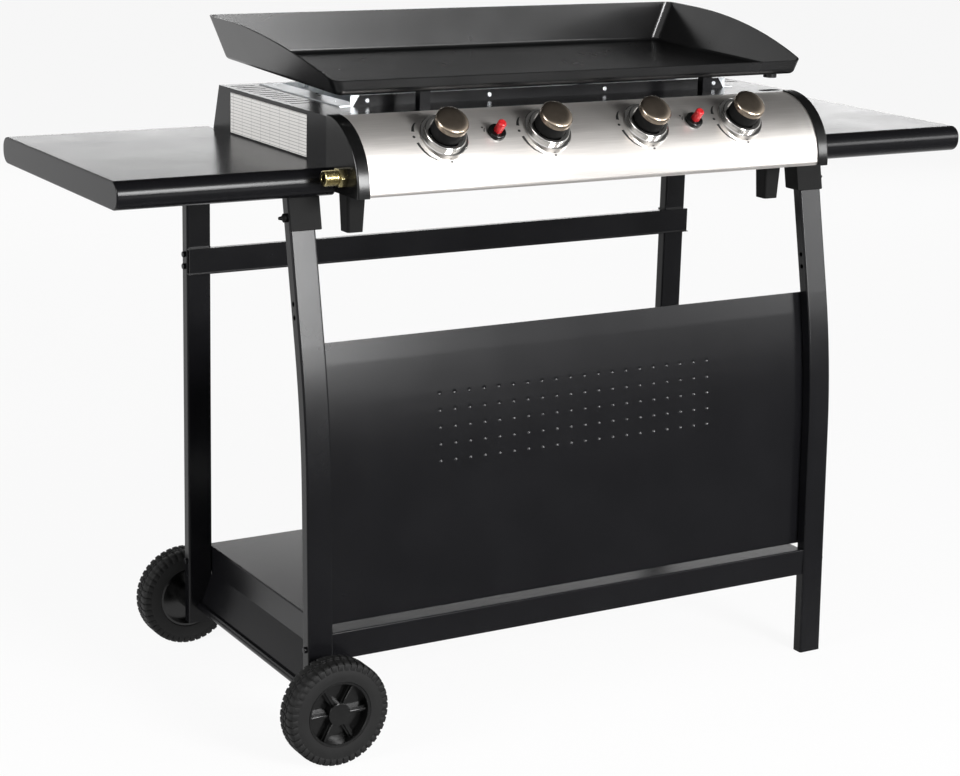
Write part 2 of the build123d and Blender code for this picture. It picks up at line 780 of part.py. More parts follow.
# Front rail of the burner box: black strip with mitred ends
rail_low = box_half + rail_reach
rail_high = rail_low - rail_mitre
rail_back = box_front - sheet
rail_front = rail_back - rail_thickness
rail_outline = Polyline((-rail_low, 0), (rail_low, 0), (rail_high, rail_height),
                        (-rail_high, rail_height), close=True)
rail = Pos(0, rail_back, deck_top) * extrude(Plane.XZ * make_face(rail_outline), rail_thickness)
rail_screw_z = deck_top + rail_height / 2
rail_screw_pitch = 2 * (box_half - rail_screw_inset) / (rail_screw_count - 1)
rail_screw_xs = [(index - (rail_screw_count - 1) / 2) * rail_screw_pitch for index in range(rail_screw_count)]
for x in rail_screw_xs:
    rail -= rod(screw_dia / 2 + seat, (x, rail_front - past, rail_screw_z), (x, rail_back + past, rail_screw_z))
save("burner_rail", rail)


# Small screws: along the rail, and behind the front panel
def small_screw(length):
    head = disc(screw_head_dia / 2, 0, screw_head)
    return fillet(top_edges(head), small_edge) + disc(screw_dia / 2, -length, 0)


screws = []
for x in rail_screw_xs:
    screws.append(Plane((x, rail_front, rail_screw_z), z_dir=(0, -1, 0)) * small_screw(rail_thickness))
for height in panel_screws:
    for side in (-1, 1):
        place = leg_place(height) * Pos(side * panel_screw_x, 0, panel_face + sheet + touch_gap)
        screws.append(place * small_screw(sheet + tube_wall + screw_tail))
save("panel_screws", *screws)

# Gas line: a manifold along the panel on two brackets, with an inlet at its left end
manifold_r = manifold_dia / 2
manifold_bore = manifold_r - manifold_wall
manifold_end = burner_xs[-1] + manifold_dia
manifold = side_rod(manifold_r, -cap_inner, manifold_end, gas_y, gas_z)
for x in igniter_xs:
    near, far = x - bracket_width / 2, x + bracket_width / 2
    manifold += block(near, far, gas_y - bracket_sheet, gas_y, flange_top, gas_z)
    manifold += block(near, far, gas_y - bracket_foot, gas_y, flange_top, flange_top + bracket_sheet)
manifold -= side_rod(manifold_bore, -cap_inner - past, manifold_end - manifold_wall, gas_y, gas_z)
for x in burner_xs:
    tap = panel_frame(x) * Pos(0, -manifold_offset, -manifold_depth) * Rot(-90, 0, 0)
    manifold -= tap * disc(port_bore_dia / 2, 0, manifold_dia)
save("gas_manifold", manifold)

hex_end = -body_half - inlet_hex_length
inlet_tip = hex_end - inlet_thread_length
spigot_end = inlet_spigot - cap_inner
spigot_r = manifold_bore - seat
thread = side_rod(inlet_thread_dia / 2, hex_end, inlet_tip, gas_y, gas_z)
inlet = chamfer(thread.edges().sort_by(Axis.X)[0], inlet_thread_lead)
hexagon = extrude(RegularPolygon(inlet_hex / 2, 6, major_radius=False), inlet_hex_length)
inlet += Plane((-body_half, gas_y, gas_z), z_dir=(-1, 0, 0)) * hexagon
inlet += side_rod(inlet_neck_dia / 2, -body_half, -cap_inner, gas_y, gas_z)
inlet += side_rod(spigot_r, -cap_inner, spigot_end, gas_y, gas_z)
inlet -= side_rod(spigot_r - inlet_wall, inlet_tip - past, spigot_end + past, gas_y, gas_z)
save("gas_inlet", inlet)

# Valves with their injectors, stems, bezels and knobs
valve_top = -neck_gap - neck_length
stem_low = valve_top - stem_depth


def valve(x):
    place = panel_frame(x)
    tip = mouth_y + nozzle_reach
    body = disc(valve_dia / 2, valve_top - valve_length, valve_top) + disc(neck_dia / 2, valve_top, -neck_gap)
    body += Pos(0, 0, -manifold_depth) * Rot(90, 0, 0) * disc(stub_dia / 2, 0, manifold_offset)
    body = place * body - side_rod(manifold_r, x - valve_dia, x + valve_dia, gas_y, gas_z)
    body += rod(nozzle_dia / 2, (x, nozzle_y, burner_z), (x, tip, burner_z))
    body += rod(injector_dia / 2, (x, tip, burner_z), (x, tip + injector_length, burner_z))
    return body - place * disc(stem_dia / 2 + run, stem_low - slide, past)


def flatted(radius, flat, z0, z1):
    """A round bar with a flat on its upper side."""
    side = Box(3 * radius, 3 * radius, z1 - z0, align=(Align.CENTER, Align.MAX, Align.MIN))
    return disc(radius, z0, z1) & Pos(0, flat, z0) * side


def valve_stem(x):
    flat_low = knob_base - knob_push - slide
    stem = disc(stem_dia / 2, stem_low, flat_low) + flatted(stem_dia / 2, stem_flat, flat_low, stem_top)
    return panel_frame(x) * stem


def knob(x):
    waist = knob_base + knob_skirt
    body = disc(knob_dia / 2 - knob_skirt_step, knob_base, waist - knob_skirt_step)
    body += disc(knob_dia / 2 - knob_groove, waist - knob_skirt_step, waist)
    cap = disc(knob_dia / 2, waist, knob_top)
    body += chamfer(top_edges(cap), knob_bevel)
    socket = flatted(stem_dia / 2 + run, stem_flat + run, knob_base - past, stem_top + knob_push + slide)
    return panel_frame(x) * (body - socket)


def bezel(x):
    drop = panel_radius - sqrt(panel_radius**2 - (bezel_dia / 2) ** 2)
    ring = disc(bezel_dia / 2, -drop, bezel_base)
    ring = chamfer(top_edges(ring), small_edge)
    step = disc(bezel_step_dia / 2, bezel_base, bezel_height)
    ring += fillet(top_edges(step), bezel_edge)
    ring -= disc(bezel_recess_dia / 2, bezel_base, bezel_height + past)
    ring -= disc(stem_dia / 2 + stem_hole_gap, -drop - past, bezel_height)
    return panel_frame(x) * ring - panel_round(panel_radius + seat, x - bezel_dia, x + bezel_dia)


for number, x in enumerate(burner_xs, 1):
    save(f"valve_{number}", valve(x))
    save(f"valve_stem_{number}", valve_stem(x))
    save(f"knob_{number}", knob(x))
save("knob_bezels", *[bezel(x) for x in burner_xs])


# Burners: tubes with a flared mouth round the injector and two rows of ports
def burner(x):
    wide, narrow = mouth_dia / 2, burner_dia / 2
    neck_y = mouth_y + mouth_length
    end_y = box_back - sheet
    cup_y = end_y - burner_end
    outer = Polyline((0, mouth_y), (wide, mouth_y), (narrow, neck_y), (narrow, end_y), (0, end_y), close=True)
    inner = Polyline((0, mouth_y), (wide - sheet, mouth_y), (narrow - sheet, neck_y), (narrow - sheet, cup_y),
                     (0, cup_y), close=True)
    tube = revolve(make_face(outer), Axis.Y) - revolve(make_face(inner), Axis.Y)
    first = (box_front + box_back) / 2 - (port_count - 1) / 2 * port_pitch
    port_ys = [first + index * port_pitch for index in range(port_count)]
    tube -= [side_rod(port_dia / 2, -burner_dia, burner_dia, y, narrow / 2) for y in port_ys]
    return Pos(x, 0, burner_z) * tube


for number, x in enumerate(burner_xs, 1):
    save(f"burner_{number}", burner(x))


# Spark electrodes in the burner box wall, each with its lead to the nearer igniter
def electrode(x):
    pin_x = electrode_x(x)
    back, front = box_front + electrode_length / 2, box_front - electrode_length / 2
    pin = rod(electrode_dia / 2, (pin_x, front, electrode_z), (pin_x, back, electrode_z))
    pin += rod(electrode_tip_dia / 2, (pin_x, back, electrode_z), (pin_x, back + electrode_tip, electrode_z))
    igniter_x = igniter_of(x)
    start = panel_frame(igniter_x + (lead_offset if pin_x > igniter_x else -lead_offset))
    depths = (igniter_barrel_length, igniter_barrel_length + lead_drop)
    points = [(start * Pos(0, 0, -depth)).position for depth in depths]
    points += [Vector(pin_x, front - lead_run, electrode_z), Vector(pin_x, front, electrode_z)]
    route = FilletPolyline(*points, radius=lead_bend)
    return pin + sweep(Plane(route @ 0, z_dir=route % 0) * Circle(lead_dia / 2), path=route)


save("spark_electrodes", *[electrode(x) for x in burner_xs])


# Igniters: barrel and domed collar in the panel, with a red push button
def igniter_body(x):
    place = panel_frame(x)
    collar = disc(igniter_collar_dia / 2, -small_edge, igniter_collar_height)
    collar = fillet(top_edges(collar), igniter_collar_edge)
    collar = place * collar - panel_round(panel_radius + seat, x - bezel_dia, x + bezel_dia)
    body = collar + place * disc(igniter_barrel_dia / 2, -igniter_barrel_length, small_edge)
    return body - place * disc(button_dia / 2 + run, -igniter_bore_depth, igniter_collar_height + past)


def igniter_button(x):
    button = disc(button_dia / 2, -button_foot, button_top)
    return panel_frame(x) * fillet(top_edges(button), button_dia / 4)


save("igniter_bodies", *[igniter_body(x) for x in igniter_xs])
for x, side in zip(igniter_xs, ("left", "right")):
    save(f"igniter_button_{side}", igniter_button(x))

# Griddle plate: enamelled steel pan, its floor falling to the front, its side rims to the front lip.
# The pan is drawn flat from its front lower edge, then tilted into place.
plate_width = body_width - 2 * plate_inset
plate_place = Location((0, deck_front - plate_overhang, deck_top + plate_rise), (plate_tilt, 0, 0))
loft_top = plate_back_wall + plate_bend


def plate_section(height, inset):
    side, end = radians(plate_side_flare), radians(plate_end_flare)
    width = plate_width + 2 * (height * tan(side) - inset / cos(side))
    depth = plate_depth + 2 * (height * tan(end) - inset / cos(end))
    return Pos(0, plate_depth / 2, height) * RectangleRounded(width, depth, plate_corner - inset)


def plate_block(low, high, inset):
    pan = loft([plate_section(low, inset), plate_section(high, inset)], ruled=True)
    return fillet(pan.edges().group_by(Axis.Z)[0], plate_bend - inset)


plate = plate_block(0, loft_top, 0) - plate_block(plate_sheet, loft_top + past, plate_sheet)
rim_run = plate_depth - plate_rim_straight
rim_drop = plate_back_wall - plate_lip
rim_radius = (rim_run**2 + rim_drop**2) / (2 * rim_drop)
rim_half = asin(rim_run / rim_radius) / 2
rim_middle = (rim_run - rim_radius * sin(rim_half), plate_back_wall - rim_radius * (1 - cos(rim_half)))
above = loft_top + reach
behind = plate_depth + reach
plate -= across([
    Line((-reach, plate_lip), (0, plate_lip)),
    ThreePointArc((0, plate_lip), rim_middle, (rim_run, plate_back_wall)),
    Polyline((rim_run, plate_back_wall), (behind, plate_back_wall), (behind, above), (-reach, above),
             (-reach, plate_lip)),
], -plate_width, plate_width)
drain = Pos(drain_x, (drain_inset + plate_overhang) / cos(radians(plate_tilt)), 0)
plate += drain * disc(spout_dia / 2, -spout_drop, plate_sheet)
plate -= drain * disc(drain_dia / 2, -spout_drop - past, plate_sheet + past)
save("griddle_plate", plate_place * plate)

# Posts on the deck that carry the plate
post_x = box_half - post_inset
under_plate = plate_place * Pos(0, 0, -seat) * block(-reach, reach, -reach, reach, 0, reach)
posts = []
for y in (deck_front + post_front_inset, deck_back - post_back_inset):
    for x in (-post_x, post_x):
        post = block(x - post_width / 2, x + post_width / 2, y - post_depth / 2, y + post_depth / 2,
                     deck_top, deck_top + plate_rise + plate_back_wall)
        posts.append(post - under_plate)
save("plate_posts", *posts)

# Guide hung under the deck, and the grease tray that pulls out of it to the back
guide_front = grease_front - grease_sheet
guide_back = deck_back - guide_end_gap
guide = block(guide_x, guide_x + sheet, guide_front, guide_back, guide_floor, deck_top - sheet)
guide += block(guide_x, body_inner, guide_front, guide_back, guide_floor, guide_floor + sheet)
save("grease_guide", guide)

grease_end = deck_back + (deck_top - guide_floor) * wall_slope + grease_reach
grease = block(grease_left, grease_right, grease_front, grease_end, grease_low, grease_top)
grease -= block(grease_left + grease_sheet, grease_right - grease_sheet, grease_front + grease_sheet,
                grease_end - grease_sheet, grease_low + grease_sheet, grease_top + past)
grease += block(grease_left + grease_handle_inset, grease_right - grease_handle_inset, grease_end,
                grease_end + grease_handle, grease_top - grease_handle_sheet, grease_top)
save("grease_tray", grease)
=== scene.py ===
import bpy
import json
from math import cos, pi, radians, sin
from mathutils import Matrix, Vector


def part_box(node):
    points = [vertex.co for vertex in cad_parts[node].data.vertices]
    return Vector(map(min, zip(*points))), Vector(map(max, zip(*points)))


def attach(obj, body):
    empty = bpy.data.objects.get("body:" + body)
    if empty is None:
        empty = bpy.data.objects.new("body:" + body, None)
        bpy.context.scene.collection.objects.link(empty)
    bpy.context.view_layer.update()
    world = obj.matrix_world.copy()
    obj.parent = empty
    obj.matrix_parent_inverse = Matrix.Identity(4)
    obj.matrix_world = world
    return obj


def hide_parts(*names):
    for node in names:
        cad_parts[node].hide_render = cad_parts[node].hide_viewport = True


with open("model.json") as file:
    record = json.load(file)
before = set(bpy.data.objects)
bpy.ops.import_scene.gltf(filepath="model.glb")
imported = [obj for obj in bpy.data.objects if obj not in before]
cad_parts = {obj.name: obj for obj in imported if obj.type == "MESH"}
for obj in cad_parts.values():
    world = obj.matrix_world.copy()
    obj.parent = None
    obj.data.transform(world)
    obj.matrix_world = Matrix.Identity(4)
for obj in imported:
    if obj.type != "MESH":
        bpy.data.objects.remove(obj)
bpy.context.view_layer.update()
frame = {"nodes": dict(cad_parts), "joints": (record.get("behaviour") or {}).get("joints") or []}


# Cart frame: bent rectangular tube for the legs, folded sheet for the tray, the front panel, the cross
# bar and a plate down to the axle. All steel, powder coated black and bolted together. The plate is
# painted shade: a dark sheet put where there is only the shaded floor under the tray.
mm = 0.001


def linear(code):
    """An sRGB hex value as linear red, green, blue and alpha."""
    parts = [int(code[index:index + 2], 16) / 255 for index in (0, 2, 4)]
    return (*(part / 12.92 if part <= 0.04045 else ((part + 0.055) / 1.055) ** 2.4 for part in parts), 1)


def add_node(tree, kind, inputs, **settings):
    """Add one shader node; an input is a value or the socket that it is linked to."""
    node = tree.nodes.new("ShaderNode" + kind)
    for name, value in settings.items():
        setattr(node, name, value)
    for socket, value in inputs.items():
        if isinstance(value, bpy.types.NodeSocket):
            tree.links.new(value, node.inputs[socket])
        else:
            node.inputs[socket].default_value = value
    return node


def start_material(name, constants):
    """A named material: its tree, its shader with the given constants, and the place in metres."""
    material = bpy.data.materials.new(name)
    material.use_nodes = True
    tree = material.node_tree
    shader = tree.nodes["Principled BSDF"]
    for socket, value in constants.items():
        shader.inputs[socket].default_value = value
    place = add_node(tree, "TexCoord", {}).outputs["Object"]
    return material, tree, shader, place


def mottle(tree, shader, place, patch, detail, colours, roughness):
    """Cloud a finish in patches of one size, from a first to a second colour and roughness."""
    noise = add_node(tree, "TexNoise", {"Vector": place, "Scale": 1 / patch, "Detail": detail})
    cloud = noise.outputs["Fac"]
    tint = add_node(tree, "ValToRGB", {"Fac": cloud})
    for element, colour in zip(tint.color_ramp.elements, colours):
        element.color = linear(colour)
    tree.links.new(tint.outputs["Color"], shader.inputs["Base Color"])
    gloss = add_node(tree, "MapRange", {"Value": cloud, "To Min": roughness[0], "To Max": roughness[1]})
    tree.links.new(gloss.outputs["Result"], shader.inputs["Roughness"])
    return cloud


def wear(material, *nodes):
    """Give CAD nodes their finish."""
    for node in nodes:
        mesh = frame["nodes"][node].data
        mesh.materials.clear()
        mesh.materials.append(material)


# Polyester powder coat: levels while it melts and leaves a faint orange peel of about 2 mm, which
# blurs what it mirrors; handling leaves slightly duller patches about a hand wide.
powder_coat, tree, shader, place = start_material(
    "black_powder_coat", {"IOR": 1.48, "Specular IOR Level": 0.2})
mottle(tree, shader, place, patch=90 * mm, detail=3,
       colours=("0b0b0d", "121214"), roughness=(0.21, 0.28))
peel = add_node(tree, "TexNoise", {"Vector": place, "Scale": 1 / (2.2 * mm), "Detail": 1})
dimple = add_node(tree, "Bump", {"Height": peel.outputs["Fac"], "Strength": 0.12, "Distance": 0.1 * mm})
tree.links.new(dimple.outputs["Normal"], shader.inputs["Normal"])
# The axle guard is painted shade, a dark sheet standing where the floor under the tray lies in shadow.
wear(powder_coat, "front_leg_left", "front_leg_right", "rear_leg_left", "rear_leg_right", "bottom_shelf",
     "front_panel", "rear_crossbar", "axle_guard", "frame_bolts")

# Leg caps, foot plugs and thumb screws: moulded black polypropylene, pushed into the tubes or screwed
# through them. The mould has a fine eroded grain, so they are much duller than the paint beside them.
moulded_black, tree, shader, place = start_material(
    "black_polypropylene", {"IOR": 1.49, "Specular IOR Level": 0.15})
grain = mottle(tree, shader, place, patch=0.9 * mm, detail=2,
               colours=("080808", "0f0f0f"), roughness=(0.58, 0.70))
erosion = add_node(tree, "Bump", {"Height": grain, "Strength": 0.25, "Distance": 0.08 * mm})
tree.links.new(erosion.outputs["Normal"], shader.inputs["Normal"])
wear(moulded_black, "leg_caps", "leg_plugs", "leg_screws")

# Axle and its nuts: a round steel bar through the feet of the left legs. Bright zinc plating, which is
# greyish and a little cloudy.
zinc, tree, shader, place = start_material("zinc_plated_steel", {"Metallic": 1})
mottle(tree, shader, place, patch=3 * mm, detail=3,
       colours=("a9acb0", "c8cacc"), roughness=(0.22, 0.38))
wear(zinc, "axle", "axle_nuts")


# Wheel rims and hub caps: black plastic from a polished mould, pushed on the axle. The rim's edge has a
# rounded lip, and a crest runs along each spoke.
def set_down(piece, place):
    """Put a finished piece in its place and leave its object at the origin."""
    bpy.ops.object.select_all(action="DESELECT")
    piece.select_set(True)
    bpy.context.view_layer.objects.active = piece
    piece.matrix_world = place
    bpy.ops.object.transform_apply(location=True, rotation=True, scale=True)
    bpy.ops.object.shade_smooth_by_angle(angle=radians(32))


def turned(name, profile, place, steps):
    """Draw a profile of (radius, height) by extruding a point, spin it about Z and put it in place."""
    bpy.ops.object.select_all(action="DESELECT")
    bpy.ops.mesh.primitive_plane_add(size=mm, location=(profile[0][0], 0, profile[0][1]))
    piece = bpy.context.object
    piece.name = piece.data.name = name
    bpy.ops.object.mode_set(mode="EDIT")
    bpy.ops.mesh.select_mode(type="VERT")
    bpy.ops.mesh.merge(type="CENTER")
    for (radius, height), (next_radius, next_height) in zip(profile, profile[1:]):
        bpy.ops.mesh.extrude_region_move(
            TRANSFORM_OT_translate={"value": (next_radius - radius, 0, next_height - height)})
    bpy.ops.mesh.select_all(action="SELECT")
    bpy.ops.mesh.spin(steps=steps, angle=2 * pi, center=(0, 0, 0), axis=(0, 0, 1))
    bpy.ops.mesh.select_all(action="SELECT")
    bpy.ops.mesh.remove_doubles(threshold=0.01 * mm)
    bpy.ops.mesh.normals_make_consistent(inside=False)
    bpy.ops.object.mode_set(mode="OBJECT")
    bpy.ops.object.transform_apply(location=True, rotation=True, scale=True)
    set_down(piece, place)
    return piece


def block(name, size, middle):
    """A block of one size, placed in its mesh, to be shaped further."""
    bpy.ops.object.select_all(action="DESELECT")
    bpy.ops.mesh.primitive_cube_add(size=1)
    piece = bpy.context.object
    piece.name = piece.data.name = name
    piece.scale, piece.location = size, middle
    bpy.ops.object.transform_apply(location=True, rotation=True, scale=True)
    return piece


def copy_round(count):
    """Spin copies of the whole mesh in edit mode to a full ring about Z."""
    bpy.ops.mesh.select_all(action="SELECT")
    bpy.ops.mesh.spin(steps=count - 1, dupli=True, angle=2 * pi * (count - 1) / count,
                      center=(0, 0, 0), axis=(0, 0, 1))
    bpy.ops.object.mode_set(mode="OBJECT")


def round_edges(piece, width, segments):
    """Round all sharp edges of a moulded piece."""
    edge_round = piece.modifiers.new("edge_round", "BEVEL")
    edge_round.width, edge_round.segments, edge_round.limit_method = width, segments, "ANGLE"
    bpy.ops.object.modifier_apply(modifier=edge_round.name)


def dress(piece, material, body):
    """Give a new piece its finish and the body it rides on."""
    piece.data.materials.clear()
    piece.data.materials.append(material)
    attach(piece, body)


def wheel_place(end):
    """The middle of a wheel, with Z out along the axle."""
    low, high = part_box(f"tyre_{end}")
    outwards = {"front": pi / 2, "rear": -pi / 2}[end]
    return Matrix.Translation((low + high) / 2) @ Matrix.Rotation(outwards, 4, "X")


# Glossy ABS: mirrors a little, with flow marks about a centimetre apart.
polished_black, tree, shader, place = start_material(
    "glossy_black_abs", {"IOR": 1.52, "Specular IOR Level": 0.4})
mottle(tree, shader, place, patch=11 * mm, detail=3,
       colours=("080808", "0e0e0e"), roughness=(0.17, 0.25))
wear(polished_black, "wheel_front", "wheel_rear", "hub_cap_front", "hub_cap_rear")

lip_profile = [(43.2 * mm, 14 * mm), (43.2 * mm, 17.2 * mm), (43.8 * mm, 17.9 * mm), (45 * mm, 18.2 * mm),
               (46.2 * mm, 17.9 * mm), (46.7 * mm, 17.2 * mm), (46.7 * mm, 14 * mm), (43.2 * mm, 14 * mm)]
spokes, crest_length, crest_width, crest_middle = 6, 28 * mm, 8.2 * mm, 29 * mm
crest_foot, crest_top, crest_taper = 9.6 * mm, 14 * mm, 0.42
for end in ("front", "rear"):
    lip = turned(f"rim_lip_{end}", lip_profile, wheel_place(end), steps=96)
    crests = block(f"spoke_crests_{end}", (crest_length, crest_width, crest_top - crest_foot),
                   (crest_middle, 0, (crest_top + crest_foot) / 2))
    for face in crests.data.polygons:
        face.select = face.normal.z > 0.9
    bpy.ops.object.mode_set(mode="EDIT")
    bpy.ops.mesh.select_mode(type="FACE")
    bpy.ops.transform.resize(value=(1, crest_taper, 1), center_override=(0, 0, 0))
    copy_round(spokes)
    round_edges(crests, width=1.2 * mm, segments=3)
    set_down(crests, wheel_place(end))
    for piece in (lip, crests):
        dress(piece, polished_black, f"{end}_wheel")

# Tyres: black rubber on the moulded rims, with two staggered rows of lugs round the shoulders and a
# rib of small blocks between them. The carcass is turned, the lugs are copied round it.
lug_count = 44
tyre_radius, tyre_half, rim_radius = 74.9 * mm, 19 * mm, 46 * mm
tread_foot, rib_foot, lug_length, rib_length = 63 * mm, 70 * mm, 7.4 * mm, 8 * mm
row_gap, rib_half = 3.5 * mm, 2.2 * mm
outer_wall = [(rim_radius, 17 * mm), (47.5 * mm, 18.6 * mm), (52 * mm, tyre_half), (63.5 * mm, tyre_half),
              (65.5 * mm, 18.3 * mm), (71.6 * mm, 16.8 * mm), (73.5 * mm, 12.8 * mm), (73.9 * mm, 8 * mm)]
carcass = [(radius, -height) for radius, height in outer_wall] + outer_wall[::-1] + [(rim_radius, -17 * mm)]


def tyre_lugs(low, high, foot, length, turn, place):
    """A ring of lugs between two heights, each a block with a bevelled shoulder."""
    middle = ((tyre_radius + foot) / 2, 0, (low + high) / 2)
    lugs = block("lugs", (tyre_radius - foot, length, high - low), middle)
    bpy.ops.object.mode_set(mode="EDIT")
    bpy.ops.mesh.select_all(action="DESELECT")
    bpy.ops.object.mode_set(mode="OBJECT")
    for edge in lugs.data.edges:
        ends = [lugs.data.vertices[index].co for index in edge.vertices]
        crest = all(end.x > middle[0] for end in ends)
        shoulder = all(abs(end.z) > tyre_half - mm for end in ends)
        edge.select = crest and shoulder
    bpy.ops.object.mode_set(mode="EDIT")
    bpy.ops.mesh.select_mode(type="EDGE")
    bpy.ops.mesh.bevel(offset=6.5 * mm, segments=3, profile=0.6, affect="EDGES")
    bpy.ops.mesh.select_all(action="SELECT")
    bpy.ops.transform.rotate(value=turn, orient_axis="Z", center_override=(0, 0, 0))
    copy_round(lug_count)
    round_edges(lugs, width=0.7 * mm, segments=2)
    set_down(lugs, place)
    return lugs


# Carbon black rubber: dull, with a fine moulded grain and a paler bloom of dust.
rubber, tree, shader, place = start_material("tyre_rubber", {"IOR": 1.52, "Specular IOR Level": 0.25})
mottle(tree, shader, place, patch=14 * mm, detail=5,
       colours=("0c0c0c", "161616"), roughness=(0.55, 0.72))
tooth = add_node(tree, "TexNoise", {"Vector": place, "Scale": 1 / (1.2 * mm), "Detail": 2})
nap = add_node(tree, "Bump", {"Height": tooth.outputs["Fac"], "Strength": 0.3, "Distance": 0.1 * mm})
tree.links.new(nap.outputs["Normal"], shader.inputs["Normal"])

pitch = 2 * pi / lug_count
for end in ("front", "rear"):
    place = wheel_place(end)
    tyre = turned(f"tyre_{end}_lugged", carcass, place, steps=96)
    rows = [tyre_lugs(row_gap, tyre_half, tread_foot, lug_length, 0, place),
            tyre_lugs(-tyre_half, -row_gap, tread_foot, lug_length, pitch / 2, place),
            tyre_lugs(-rib_half, rib_half, rib_foot, rib_length, pitch / 4, place)]
    bpy.ops.object.select_all(action="DESELECT")
    for piece in (*rows, tyre):
        piece.select_set(True)
    bpy.context.view_layer.objects.active = tyre
    bpy.ops.object.join()
    dress(tyre, rubber, f"{end}_wheel")
    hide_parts(f"tyre_{end}")

# Side shelves and their bearers: folded steel trays screwed to channels that stand on the legs, in the
# same black powder coat as the cart.
wear(powder_coat, "shelf_left", "shelf_right", "shelf_bearers")

# Body: one folded steel shell with a louvred deck, powder coated black. It stands between the legs on
# four moulded feet and carries the guide that the grease tray slides in.
wear(powder_coat, "body_shell", "grease_guide")
wear(moulded_black, "body_feet")

# Data plate on the left wall of the body: a sheet of white laminate stuck on, with plain ruled lines
# and no lettering.
laminate, tree, shader, place = start_material("white_laminate", {"IOR": 1.5, "Roughness": 0.38})
row_height, column_width, row_rule, column_rule = 4.6 * mm, 31 * mm, 0.9 * mm, 0.8 * mm
spot = add_node(tree, "SeparateXYZ", {"Vector": place})
row = add_node(tree, "Math", {0: spot.outputs["Z"], 1: row_height}, operation="FLOORED_MODULO")
column = add_node(tree, "Math", {0: spot.outputs["Y"], 1: column_width}, operation="FLOORED_MODULO")
row_line = add_node(tree, "Math", {0: row.outputs[0], 1: row_rule}, operation="LESS_THAN")
column_line = add_node(tree, "Math", {0: column.outputs[0], 1: column_rule}, operation="LESS_THAN")
ruled = add_node(tree, "Math", {0: row_line.outputs[0], 1: column_line.outputs[0]}, operation="MAXIMUM")
ink = add_node(tree, "Mix", {"Factor": ruled.outputs[0], 6: linear("f0eeeb"), 7: linear("a9a8a6")},
               data_type="RGBA")
tree.links.new(ink.outputs[2], shader.inputs["Base Color"])
wear(laminate, "data_plate")

# Burner box and burners: galvanised sheet, folded or rolled and seamed, with a spangle of zinc crystals
# some millimetres across, each a little brighter or duller than its neighbour.
galvanised, tree, shader, place = start_material("galvanised_sheet", {"Metallic": 1})
spangle = add_node(tree, "TexVoronoi", {"Vector": place, "Scale": 1 / (7 * mm)})
crystal = add_node(tree, "ValToRGB", {"Fac": spangle.outputs["Color"]})
crystal.color_ramp.elements[0].color = linear("b6bbbf")
crystal.color_ramp.elements[1].color = linear("dfe2e4")
frost = add_node(tree, "MapRange", {"Value": spangle.outputs["Color"], "To Min": 0.25, "To Max": 0.42})
tree.links.new(crystal.outputs["Color"], shader.inputs["Base Color"])
tree.links.new(frost.outputs["Result"], shader.inputs["Roughness"])
wear(galvanised, "burner_box", "burner_1", "burner_2", "burner_3", "burner_4")

# Burner rail along the front of the burner box: a folded steel strip in the cart's powder coat, held
# by zinc plated screws.
wear(powder_coat, "burner_rail")
wear(zinc, "panel_screws")

# Spark electrodes: rods in a sleeve of glazed white ceramic, each with its coated lead, clamped
# beside the burners.
ceramic, tree, shader, place = start_material("glazed_ceramic", {"IOR": 1.55, "Roughness": 0.3})
glaze = add_node(tree, "TexNoise", {"Vector": place, "Scale": 1 / (4 * mm), "Detail": 2})
china = add_node(tree, "ValToRGB", {"Fac": glaze.outputs["Fac"]})
china.color_ramp.elements[0].color = linear("d8d3c8")
china.color_ramp.elements[1].color = linear("ebe7de")
tree.links.new(china.outputs["Color"], shader.inputs["Base Color"])
wear(ceramic, "spark_electrodes")

# Gas manifold, valves and stems: a plated steel tube with four valves of cast and turned brass, a
# little tarnished. The valves' stems are plated too.
brass, tree, shader, place = start_material("turned_brass", {"Metallic": 1})
mottle(tree, shader, place, patch=6 * mm, detail=4,
       colours=("948759", "cabf94"), roughness=(0.18, 0.34))
wear(zinc, "gas_manifold", "valve_stem_1", "valve_stem_2", "valve_stem_3", "valve_stem_4")
wear(brass, "valve_1", "valve_2", "valve_3", "valve_4")

# Gas inlet: a brass nipple screwed into the manifold through the left end cap, with a hexagon for
# the spanner and a pipe thread of 14 turns to the inch for the hose.
inlet_low, inlet_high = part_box("gas_inlet")
inlet_length = inlet_high.x - inlet_low.x
thread_radius, thread_root, thread_pitch, thread_turns = 10.475 * mm, 9.4 * mm, 1.814 * mm, 10
bore, stem_radius, mouth = 4.9 * mm, 7.9 * mm, 3 * mm
hex_length, thread_length, hex_half = 11 * mm, 20 * mm, 12 * mm
inlet_middle = (inlet_low + inlet_high) / 2
inlet_place = (Matrix.Translation((inlet_low.x, inlet_middle.y, inlet_middle.z))
               @ Matrix.Rotation(pi / 2, 4, "Y"))
nipple = [(bore, mouth), (bore, 0.4 * mm), (bore + 0.4 * mm, 0), (thread_root - 0.3 * mm, 0)]
for turn in range(thread_turns):
    start = 0.3 * mm + turn * thread_pitch
    nipple += [(thread_root, start), (thread_radius, start + 0.35 * thread_pitch),
               (thread_radius, start + 0.65 * thread_pitch), (thread_root, start + thread_pitch)]
nipple += [(thread_root, thread_length), (stem_radius, thread_length), (stem_radius, inlet_length),
           (bore, inlet_length), (bore, mouth)]
inlet = turned("gas_inlet_threaded", nipple, inlet_place, steps=48)
bpy.ops.object.select_all(action="DESELECT")
bpy.ops.mesh.primitive_cylinder_add(vertices=6, radius=hex_half / cos(pi / 6), depth=hex_length,
                                    location=(0, 0, thread_length + hex_length / 2))
hexagon = bpy.context.object
hexagon.name = hexagon.data.name = "gas_inlet_hexagon"
bpy.ops.object.mode_set(mode="EDIT")
bpy.ops.mesh.select_all(action="SELECT")
bpy.ops.mesh.bevel(offset=0.7 * mm, segments=2, affect="EDGES")
bpy.ops.object.mode_set(mode="OBJECT")
bpy.ops.object.transform_apply(location=True, rotation=True, scale=True)
set_down(hexagon, inlet_place)
